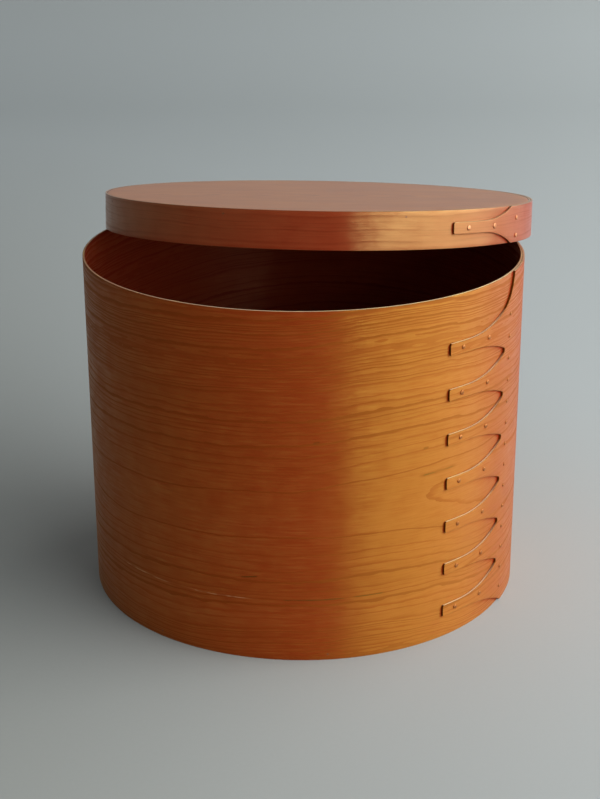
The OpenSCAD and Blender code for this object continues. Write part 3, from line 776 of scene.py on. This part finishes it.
# pores about 0.25 mm across
pores = add_node(tree, "ShaderNodeTexNoise", {"Scale": 1 / (0.25 * mm), "Detail": 2.0},
                 {"Vector": peg_place.outputs["Object"]})
peg_tones = add_node(tree, "ShaderNodeMix",
                     {"data_type": "RGBA", "A": hex_colour("#5f3114"), "B": hex_colour("#9a5a2a")},
                     {"Factor": pores})
set_node(tree, shader, {"Roughness": 0.55}, {"Base Color": peg_tones})
bottom_pegs.data.materials.append(peg_wood)
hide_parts("bottom_pegs")
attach(bottom_pegs, "box")


# Finger tacks
# Small copper tacks, two along each finger, hammered through both layers against an iron so that their points
# clinch inside. Their heads are low uneven domes.
finger_tack_head = 3.2
tip_tack_distance = 11.2
shank_tack_distance = 38.2
tack_shank = 1.2
clinch_diameter = 2.0
clinch_thickness = 0.4
tack_rim = 0.2
tack_sides = 18
tack_smooth_angle = math.radians(35)
hammer_lean = math.radians(2.5)
hammer_width = (0.93, 1.02)
hammer_squash = (0.94, 1.0)
# each dome or clinch is drawn out in steps: how far, and its share of the width before
dome_steps = ((0.14, 0.95), (0.14, 0.88), (0.1, 0.78), (0.06, 0.6), (0.03, 0.4))
clinch_steps = ((-0.02, clinch_diameter / tack_shank), (-0.6 * clinch_thickness, 1.0),
                (-0.4 * clinch_thickness, 0.6))
finger_heights = [lowest_finger + number * finger_pitch for number in range(finger_count)]


def select_end(piece, upwards):
    """Selects the end face of a piece in edit mode, the upper or the lower one."""
    bpy.ops.mesh.select_all(action="DESELECT")
    mesh = bmesh.from_edit_mesh(piece.data)
    ends = [face for face in mesh.faces if (face.normal.z if upwards else -face.normal.z) > end_look]
    chosen = (max if upwards else min)(ends, key=lambda face: face.calc_center_median().z)
    chosen.select_set(True)
    bmesh.update_edit_mesh(piece.data)


def draw_out(length, width_share):
    """Extrudes the selected end face along the piece and makes it wider or narrower."""
    bpy.ops.mesh.extrude_region_move(TRANSFORM_OT_translate={"value": (0.0, 0.0, length * mm)})
    bpy.ops.transform.resize(value=(width_share, width_share, 1.0), center_override=(0.0, 0.0, 0.0))


def copper_tack(head, inside, outside):
    """A tack that points up, with a low domed head outside, a shank and a flattened point inside."""
    bpy.ops.object.select_all(action="DESELECT")
    bpy.ops.mesh.primitive_cylinder_add(vertices=tack_sides, radius=head / 2 * mm, depth=tack_rim * mm,
                                        calc_uvs=False, location=(0.0, 0.0, 0.0))
    tack = bpy.context.object
    tack.data.transform(Matrix.Translation((0.0, 0.0, (outside + tack_rim / 2) * mm)))
    bpy.ops.object.mode_set(mode="EDIT")
    bpy.ops.mesh.select_mode(type="FACE")
    select_end(tack, True)
    for rise, share in dome_steps:
        draw_out(rise, share)
    # the shank, and the point that is hammered flat inside
    select_end(tack, False)
    bpy.ops.mesh.inset(thickness=(head - tack_shank) / 2 * mm)
    draw_out(inside - outside, 1.0)
    for fall, share in clinch_steps:
        draw_out(fall, share)
    bpy.ops.object.mode_set(mode="OBJECT")
    bpy.ops.object.shade_smooth_by_angle(angle=tack_smooth_angle)
    return tack


def hammered(seed, outside):
    """A small uneven turn and size for each tack about the middle of its head, as from a hammer."""
    chance = random.Random(seed)
    middle = Matrix.Translation((0.0, 0.0, outside * mm))
    lean = Matrix.Rotation(chance.uniform(-hammer_lean, hammer_lean), 4, "X")
    lean = lean @ Matrix.Rotation(chance.uniform(-hammer_lean, hammer_lean), 4, "Y")
    turn = Matrix.Rotation(chance.uniform(0.0, math.tau), 4, "Z")
    wide = chance.uniform(*hammer_width)
    size = Matrix.Diagonal((wide, wide * chance.uniform(*hammer_squash), 1.0, 1.0))
    return middle @ lean @ turn @ size @ middle.inverted()


tip_tack_direction = finger_direction + math.degrees(tip_tack_distance / lap_outer_radius)
shank_tack_direction = finger_direction + math.degrees(shank_tack_distance / lap_outer_radius)
# each tack of the box and the lid has its own seed, so that no two are hammered alike
finger_tack_places = []
for number, finger in enumerate(finger_heights):
    finger_tack_places.append(facing(tip_tack_direction, finger) @ hammered(number, lap_outer_radius))
    finger_tack_places.append(facing(shank_tack_direction, finger) @ hammered(20 + number, lap_outer_radius))
finger_tack = copper_tack(finger_tack_head, box_inner_radius, lap_outer_radius)
finger_tacks = join_copies("copper_finger_tacks", finger_tack, finger_tack_places)

# Bare copper, hammered and a little dulled. It gives a soft pinkish metal gloss with browner tarnish in
# patches.
copper, tree, shader = new_material("dulled_copper")
tack_place = add_node(tree, "ShaderNodeTexCoord", {}, {})
# patches of tarnish about 1.5 mm across, and hammer marks about 0.6 mm across
tarnish = add_node(tree, "ShaderNodeTexNoise", {"Scale": 1 / (1.5 * mm), "Detail": 3.0},
                   {"Vector": tack_place.outputs["Object"]})
copper_tones = add_node(tree, "ShaderNodeMix",
                        {"data_type": "RGBA", "A": hex_colour("#7e4622"), "B": hex_colour("#cc8a50")},
                        {"Factor": tarnish})
copper_gloss = add_node(tree, "ShaderNodeMapRange", {"To Min": 0.6, "To Max": 0.4}, {"Value": tarnish})
dents = add_node(tree, "ShaderNodeTexNoise", {"Scale": 1 / (0.6 * mm), "Detail": 1.0},
                 {"Vector": tack_place.outputs["Object"]})
dent_relief = add_node(tree, "ShaderNodeBump", {"Strength": 0.3, "Distance": 0.1 * mm}, {"Height": dents})
set_node(tree, shader, {"Metallic": 1.0},
         {"Base Color": copper_tones, "Roughness": copper_gloss, "Normal": dent_relief})
finger_tacks.data.materials.append(copper)
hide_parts("finger_tacks")
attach(finger_tacks, "box")


# Root tacks
# A column of slightly smaller copper tacks behind the ends of the gaps, two for each finger. They close the
# lap where the fingers join the band.
root_tack_head = 2.6
root_tack_distance = 7.8
root_tack_direction = gap_direction + math.degrees(root_tack_distance / lap_outer_radius)
root_tack_places = []
for number, finger in enumerate(finger_heights):
    for side in (-1, 1):
        tack_height = finger + side * finger_pitch / 4
        chance_turn = hammered(40 + 2 * number + side, lap_outer_radius)
        root_tack_places.append(facing(root_tack_direction, tack_height) @ chance_turn)
root_tack = copper_tack(root_tack_head, box_inner_radius, lap_outer_radius)
root_tacks = join_copies("copper_root_tacks", root_tack, root_tack_places)
root_tacks.data.materials.append(copper)
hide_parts("root_tacks")
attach(root_tacks, "box")


# Lid band
# A narrow strip of the same cherry, bent a little wider than the box and lapped with a single finger. The lid
# is pushed back: its lower edge lies on the rim at both sides, and its board on the back of the rim.
lid_height = 25.4
lid_band_thickness = 1.4
lid_board_thickness = 7.2
lid_clearance = 1.2
lid_inner_radius = lap_outer_radius + lid_clearance
lid_outer_radius = lid_inner_radius + lid_band_thickness
lid_lap_radius = lid_outer_radius + lap_gap + lid_band_thickness
lid_depth = lid_height - lid_board_thickness
lid_lap_direction = 5.0
lid_finger_direction = -55.5
lid_finger_length = 63.0
lid_finger_level_length = 28.0
lid_finger_tip_height = 8.0
lid_finger_middle = 13.3
lid_row_count = 10
# the lid's strip is sliced from another place of the board than the box's
lid_cut_from = (1200.0, 210.0)
lid_finger_half_angle = math.degrees(lid_finger_length / lid_lap_radius) / 2
lid_finger_middle_direction = lid_finger_direction + lid_finger_half_angle
lid_root_direction = lid_finger_direction + 2 * lid_finger_half_angle
lid_finger_reach = lid_lap_radius * math.sin(math.radians(lid_finger_half_angle))
lid_spread_start = lid_finger_level_length - lid_finger_reach
lid_spread_run = lid_finger_reach - lid_spread_start
lid_upper_rise = lid_height - lid_finger_middle - lid_finger_tip_height / 2
lid_lower_rise = lid_finger_middle - lid_finger_tip_height / 2
lid_upper_radius = (lid_spread_run ** 2 / lid_upper_rise + lid_upper_rise) / 2
lid_lower_radius = (lid_spread_run ** 2 / lid_lower_rise + lid_lower_rise) / 2

# the lid's tilted place, from the three points where it touches the rim
lid_shift = 80.0
lid_direction = math.radians(82.2)
rest_gap = 0.2
right_back = (lid_shift ** 2 + lap_outer_radius ** 2 - lid_inner_radius ** 2) / (2 * lid_shift)
left_back = (lid_shift ** 2 + box_outer_radius ** 2 - lid_inner_radius ** 2) / (2 * lid_shift)
right_side = -math.sqrt(lap_outer_radius ** 2 - right_back ** 2)
left_side = math.sqrt(box_outer_radius ** 2 - left_back ** 2)
side_share = -(right_back - left_back) / (right_side - left_side)
depth_share = (box_outer_radius - right_back - side_share * right_side) / lid_depth
back_slope = -1 / math.sqrt(depth_share ** 2 - 1 - side_share ** 2)
side_slope = side_share * back_slope
lid_rise = -back_slope * right_back - side_slope * right_side + back_slope * lid_shift + rest_gap
back_axis = Vector((math.cos(lid_direction), math.sin(lid_direction), 0.0))
side_axis = Vector((-math.sin(lid_direction), math.cos(lid_direction), 0.0))
upright = Vector((0.0, 0.0, 1.0))
lid_normal = upright - back_slope * back_axis - side_slope * side_axis
lid_tilt = Matrix.Rotation(math.acos(1 / lid_normal.length), 4, upright.cross(lid_normal))
lid_middle = (lid_shift * back_axis + Vector((0.0, 0.0, box_height + lid_rise))) * mm
lid_place = Matrix.Translation(lid_middle) @ lid_tilt


def lid_rows(direction):
    """Heights of the lid strip's rows of points at a direction, across its one finger."""
    low = 0.0
    high = lid_height
    if direction < lid_root_direction:
        turn = math.radians(direction - lid_finger_middle_direction)
        run = lid_lap_radius * math.sin(turn) - lid_spread_start
        half = lid_finger_tip_height / 2 - corner_cut(direction, lid_finger_direction, lid_lap_radius)
        low = lid_finger_middle - half - arc_rise(lid_lower_radius, run)
        high = lid_finger_middle + half + arc_rise(lid_upper_radius, run)
    return [low + (high - low) * k / lid_row_count for k in range(lid_row_count + 1)]


lid_corner_end = lid_finger_direction + math.degrees(finger_corner / lid_lap_radius)
lid_stretches = [(lid_finger_direction, lid_corner_end, 0.09), (lid_corner_end, lid_root_direction, 0.4)]
lid_columns = strip_columns(lid_stretches, lid_lap_direction)
lid_band = bent_strip("cherry_lid_band", lid_inner_radius, lid_band_thickness, lid_columns, lid_rows,
                      lambda direction, height: False, lid_lap_direction, lid_cut_from)

# The same oiled cherry, rubbed more by hands. It gives a paler sheen than the box's, and straighter, fainter
# lines.
lid_wood = band_wood.copy()
lid_wood.name = "rubbed_cherry_lid_band"
tree = lid_wood.node_tree
for node_name, settings in (("Principled BSDF", {"Specular Tint": hex_colour("#ffe492")}),
                            (gloss_fibre.name, {"To Min": 0.53, "To Max": 0.43}),
                            (waver_mm.name, {"To Min": -0.2, "To Max": 0.2}),
                            (shade_line.name, {1: -0.3}), (gloss_line.name, {1: 0.1})):
    set_node(tree, tree.nodes[node_name], settings, {})
bare_inside(lid_band, lid_wood, inside_wood)
lid_band.data.transform(lid_place)
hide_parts("lid_band")
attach(lid_band, "lid")


# Lid board
# A round board of solid cherry inside the lid band, planed flush with its upper edge and held by pegs. Its
# broad top is what is seen of the lid from above.
lid_board = round_board("cherry_lid_board", lid_inner_radius - board_gap, lid_depth, lid_board_thickness)
lid_board.data.transform(lid_place)
lid_board.data.materials.append(board_wood)
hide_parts("lid_board")
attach(lid_board, "lid")


# Lid pegs
# Six thin wooden pegs, split from hard wood and driven through the lid band into the edge of the lid board.
# Like those of the box they are pared off flush with the band.
lid_peg_direction = -68.9
lid_peg_height = lid_height - lid_board_thickness / 2
lid_peg_places = []
for number in range(peg_count):
    lid_peg_places.append(lid_place @ facing(lid_peg_direction - number * peg_spacing, lid_peg_height))
lid_pegs = join_copies("wooden_lid_pegs", wooden_peg(lid_outer_radius), lid_peg_places)
lid_pegs.data.materials.append(peg_wood)
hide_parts("lid_pegs")
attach(lid_pegs, "lid")


# Lid finger tacks
# Two larger copper tacks in a row along the lid's finger, hammered through both layers and clinched like
# those of the box. They hold the finger down.
lid_tack_head = 3.8
lid_tip_tack_distance = 13.2
lid_shank_tack_distance = 40.4
lid_finger_tack_places = []
for seed, distance in ((70, lid_tip_tack_distance), (71, lid_shank_tack_distance)):
    tack_direction = lid_finger_direction + math.degrees(distance / lid_lap_radius)
    place = lid_place @ facing(tack_direction, lid_finger_middle)
    lid_finger_tack_places.append(place @ hammered(seed, lid_lap_radius))
lid_finger_tack = copper_tack(lid_tack_head, lid_inner_radius, lid_lap_radius)
lid_finger_tacks = join_copies("copper_lid_finger_tacks", lid_finger_tack, lid_finger_tack_places)

# The same copper in a paler, cleaner pink for the lid's tacks: a painted highlight for the stronger light
# they catch on the tilted lid.
lid_copper_highlit = copper.copy()
lid_copper_highlit.name = "paler_highlit_copper"
tree = lid_copper_highlit.node_tree
set_node(tree, tree.nodes[copper_tones.name], {"A": hex_colour("#a86a44"), "B": hex_colour("#d69a70")}, {})
lid_finger_tacks.data.materials.append(lid_copper_highlit)
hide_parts("lid_finger_tacks")
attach(lid_finger_tacks, "lid")


# Lid root tacks
# Two copper tacks one above the other behind the lid's finger, hammered and clinched in the same way. They
# close the lap of the lid band where the finger joins it.
lid_root_tack_head = 3.4
lid_root_tack_distance = 8.8
lid_root_tack_direction = lid_root_direction + math.degrees(lid_root_tack_distance / lid_lap_radius)
# the lower one is a fifth of the way up, the upper one is clinched just below the lid board
lower_tack_share = 0.19
clinch_clearance = 0.2
lid_root_tack_heights = (lower_tack_share * lid_height, lid_depth - clinch_diameter / 2 - clinch_clearance)
lid_root_tack_places = []
for seed, tack_height in zip((80, 81), lid_root_tack_heights):
    place = lid_place @ facing(lid_root_tack_direction, tack_height)
    lid_root_tack_places.append(place @ hammered(seed, lid_lap_radius))
lid_root_tack = copper_tack(lid_root_tack_head, lid_inner_radius, lid_lap_radius)
lid_root_tacks = join_copies("copper_lid_root_tacks", lid_root_tack, lid_root_tack_places)
lid_root_tacks.data.materials.append(lid_copper_highlit)
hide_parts("lid_root_tacks")
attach(lid_root_tacks, "lid")


# Floor and backdrop
# One wide sheet of matt grey paper that lies on the floor and sweeps up behind in a smooth curve. The box
# stands on it, and it is no part of the box.
paper_front = -3.0
sweep_start = 1.9
sweep_radius = 1.6
sweep_steps = 24
paper_rise = 1.6
paper_half_width = 4.0
edge_margin = 0.01
bpy.ops.object.select_all(action="DESELECT")
bpy.ops.mesh.primitive_plane_add(size=1, location=(0.0, 0.0, 0.0))
paper = bpy.context.object
paper.name = "paper_floor"
for point in paper.data.vertices:
    point.co.x *= 2 * paper_half_width
    point.co.y = paper_front if point.co.y < 0 else sweep_start
bpy.ops.object.mode_set(mode="EDIT")
select_where(paper, "EDGE", lambda edge: all(point.co.y > sweep_start - edge_margin for point in edge.verts))
for number in range(sweep_steps):
    before = math.radians(90 * number / sweep_steps)
    after = math.radians(90 * (number + 1) / sweep_steps)
    step = (0.0, sweep_radius * (math.sin(after) - math.sin(before)),
            sweep_radius * (math.cos(before) - math.cos(after)))
    bpy.ops.mesh.extrude_region_move(TRANSFORM_OT_translate={"value": step})
bpy.ops.mesh.extrude_region_move(TRANSFORM_OT_translate={"value": (0.0, 0.0, paper_rise)})
bpy.ops.mesh.select_all(action="SELECT")
bpy.ops.mesh.normals_make_consistent(inside=False)
bpy.ops.object.mode_set(mode="OBJECT")
bpy.ops.object.shade_smooth_by_angle(angle=smooth_angle)

# Matt paper. It gives a pale grey with a faint fibrous unevenness and no gloss, and painted light: paler to
# the right and to the back, darker up the sweep.
paper_grey, tree, shader = new_material("matt_grey_paper")
paper_place = add_node(tree, "ShaderNodeTexCoord", {}, {})
paper_axes = add_node(tree, "ShaderNodeSeparateXYZ", {}, {0: paper_place.outputs["Object"]})
# painted light: paler to the right over about 0.8 m and to the back, and even in the far sweep
rightwards = add_node(tree, "ShaderNodeMapRange", {"From Min": -0.4, "From Max": 0.4},
                      {"Value": paper_axes.outputs["X"]})
far_share = add_node(tree, "ShaderNodeMapRange", {"From Min": -0.4, "From Max": 2.4},
                     {"Value": paper_axes.outputs["Y"]})
evened = add_node(tree, "ShaderNodeMix", {"data_type": "FLOAT", "B": 0.5},
                  {"Factor": far_share, "A": rightwards})
backwards = add_node(tree, "ShaderNodeMapRange",
                     {"From Min": -0.4, "From Max": sweep_start, "To Min": 0.0, "To Max": 0.7},
                     {"Value": paper_axes.outputs["Y"]})
paler = add_node(tree, "ShaderNodeMath", {"operation": "ADD"}, {0: evened, 1: backwards})
# painted shade: darker up the sweep
upwards = add_node(tree, "ShaderNodeMapRange",
                   {"From Min": sweep_start, "From Max": 3.1, "To Min": 0.0, "To Max": 0.62},
                   {"Value": paper_axes.outputs["Y"]})
painted_light_paleness = add_node(tree, "ShaderNodeMath", {"operation": "SUBTRACT"}, {0: paler, 1: upwards})
# fibres about 3 mm across
paper_fibre = add_node(tree, "ShaderNodeTexNoise", {"Scale": 1 / (3 * mm), "Detail": 3.0},
                       {"Vector": paper_place.outputs["Object"]})
paper_share = add_node(tree, "ShaderNodeMath", {"operation": "MULTIPLY_ADD", 1: 0.08},
                       {0: paper_fibre, 2: painted_light_paleness})
paper_tones_painted_light = add_node(tree, "ShaderNodeMix",
                       {"data_type": "RGBA", "A": hex_colour("#a3a7a1"), "B": hex_colour("#c2cacc")},
                       {"Factor": paper_share})
set_node(tree, shader, {"Roughness": 0.9, "Specular IOR Level": 0.1}, {"Base Color": paper_tones_painted_light})
paper.data.materials.append(paper_grey)


# Light
# Three soft windows side by side to the right, the middle one large and bright, a faint even room light, and
# a camera at the photograph's angle.
window_distance = 2.2
window_middle_height = 1.1
window_height = 1.6
window_facing = Vector((-1.0, 0.0, -0.2)).to_track_quat("-Z", "Y")
for name, middle, width, energy in (("near_window", -6.0, 1.8, 20.0), ("middle_window", -2.25, 5.7, 160.0),
                                    ("far_window", 1.8, 2.4, 35.0)):
    window = bpy.data.lights.new(name, "AREA")
    window.shape = "RECTANGLE"
    window.size = width
    window.size_y = window_height
    window.energy = energy
    window.color = (1.0, 0.985, 0.96)
    window_lamp = bpy.data.objects.new(name, window)
    bpy.context.scene.collection.objects.link(window_lamp)
    window_lamp.location = (window_distance, middle, window_middle_height)
    window_lamp.rotation_mode = "QUATERNION"
    window_lamp.rotation_quaternion = window_facing

room = bpy.data.worlds.new("room")
bpy.context.scene.world = room
room.use_nodes = True
room_light = room.node_tree.nodes["Background"]
set_node(room.node_tree, room_light, {"Color": (0.95, 0.98, 1.0, 1.0), "Strength": 0.2}, {})

camera = bpy.data.cameras.new("camera")
camera.sensor_fit = "VERTICAL"
camera.sensor_height = 36.0
camera.lens = 71.86
camera_object = bpy.data.objects.new("camera", camera)
bpy.context.scene.collection.objects.link(camera_object)
camera_place = Matrix.Translation((0.0, -1.0774, 0.5267))
camera_pan = Matrix.Rotation(math.radians(0.114), 4, "Z")
camera_tilt = Matrix.Rotation(math.radians(69.64), 4, "X")
camera_roll = Matrix.Rotation(math.radians(-0.207), 4, "Z")
camera_object.matrix_world = camera_place @ camera_pan @ camera_tilt @ camera_roll
bpy.context.scene.camera = camera_object
bpy.context.scene.view_settings.view_transform = "Standard"
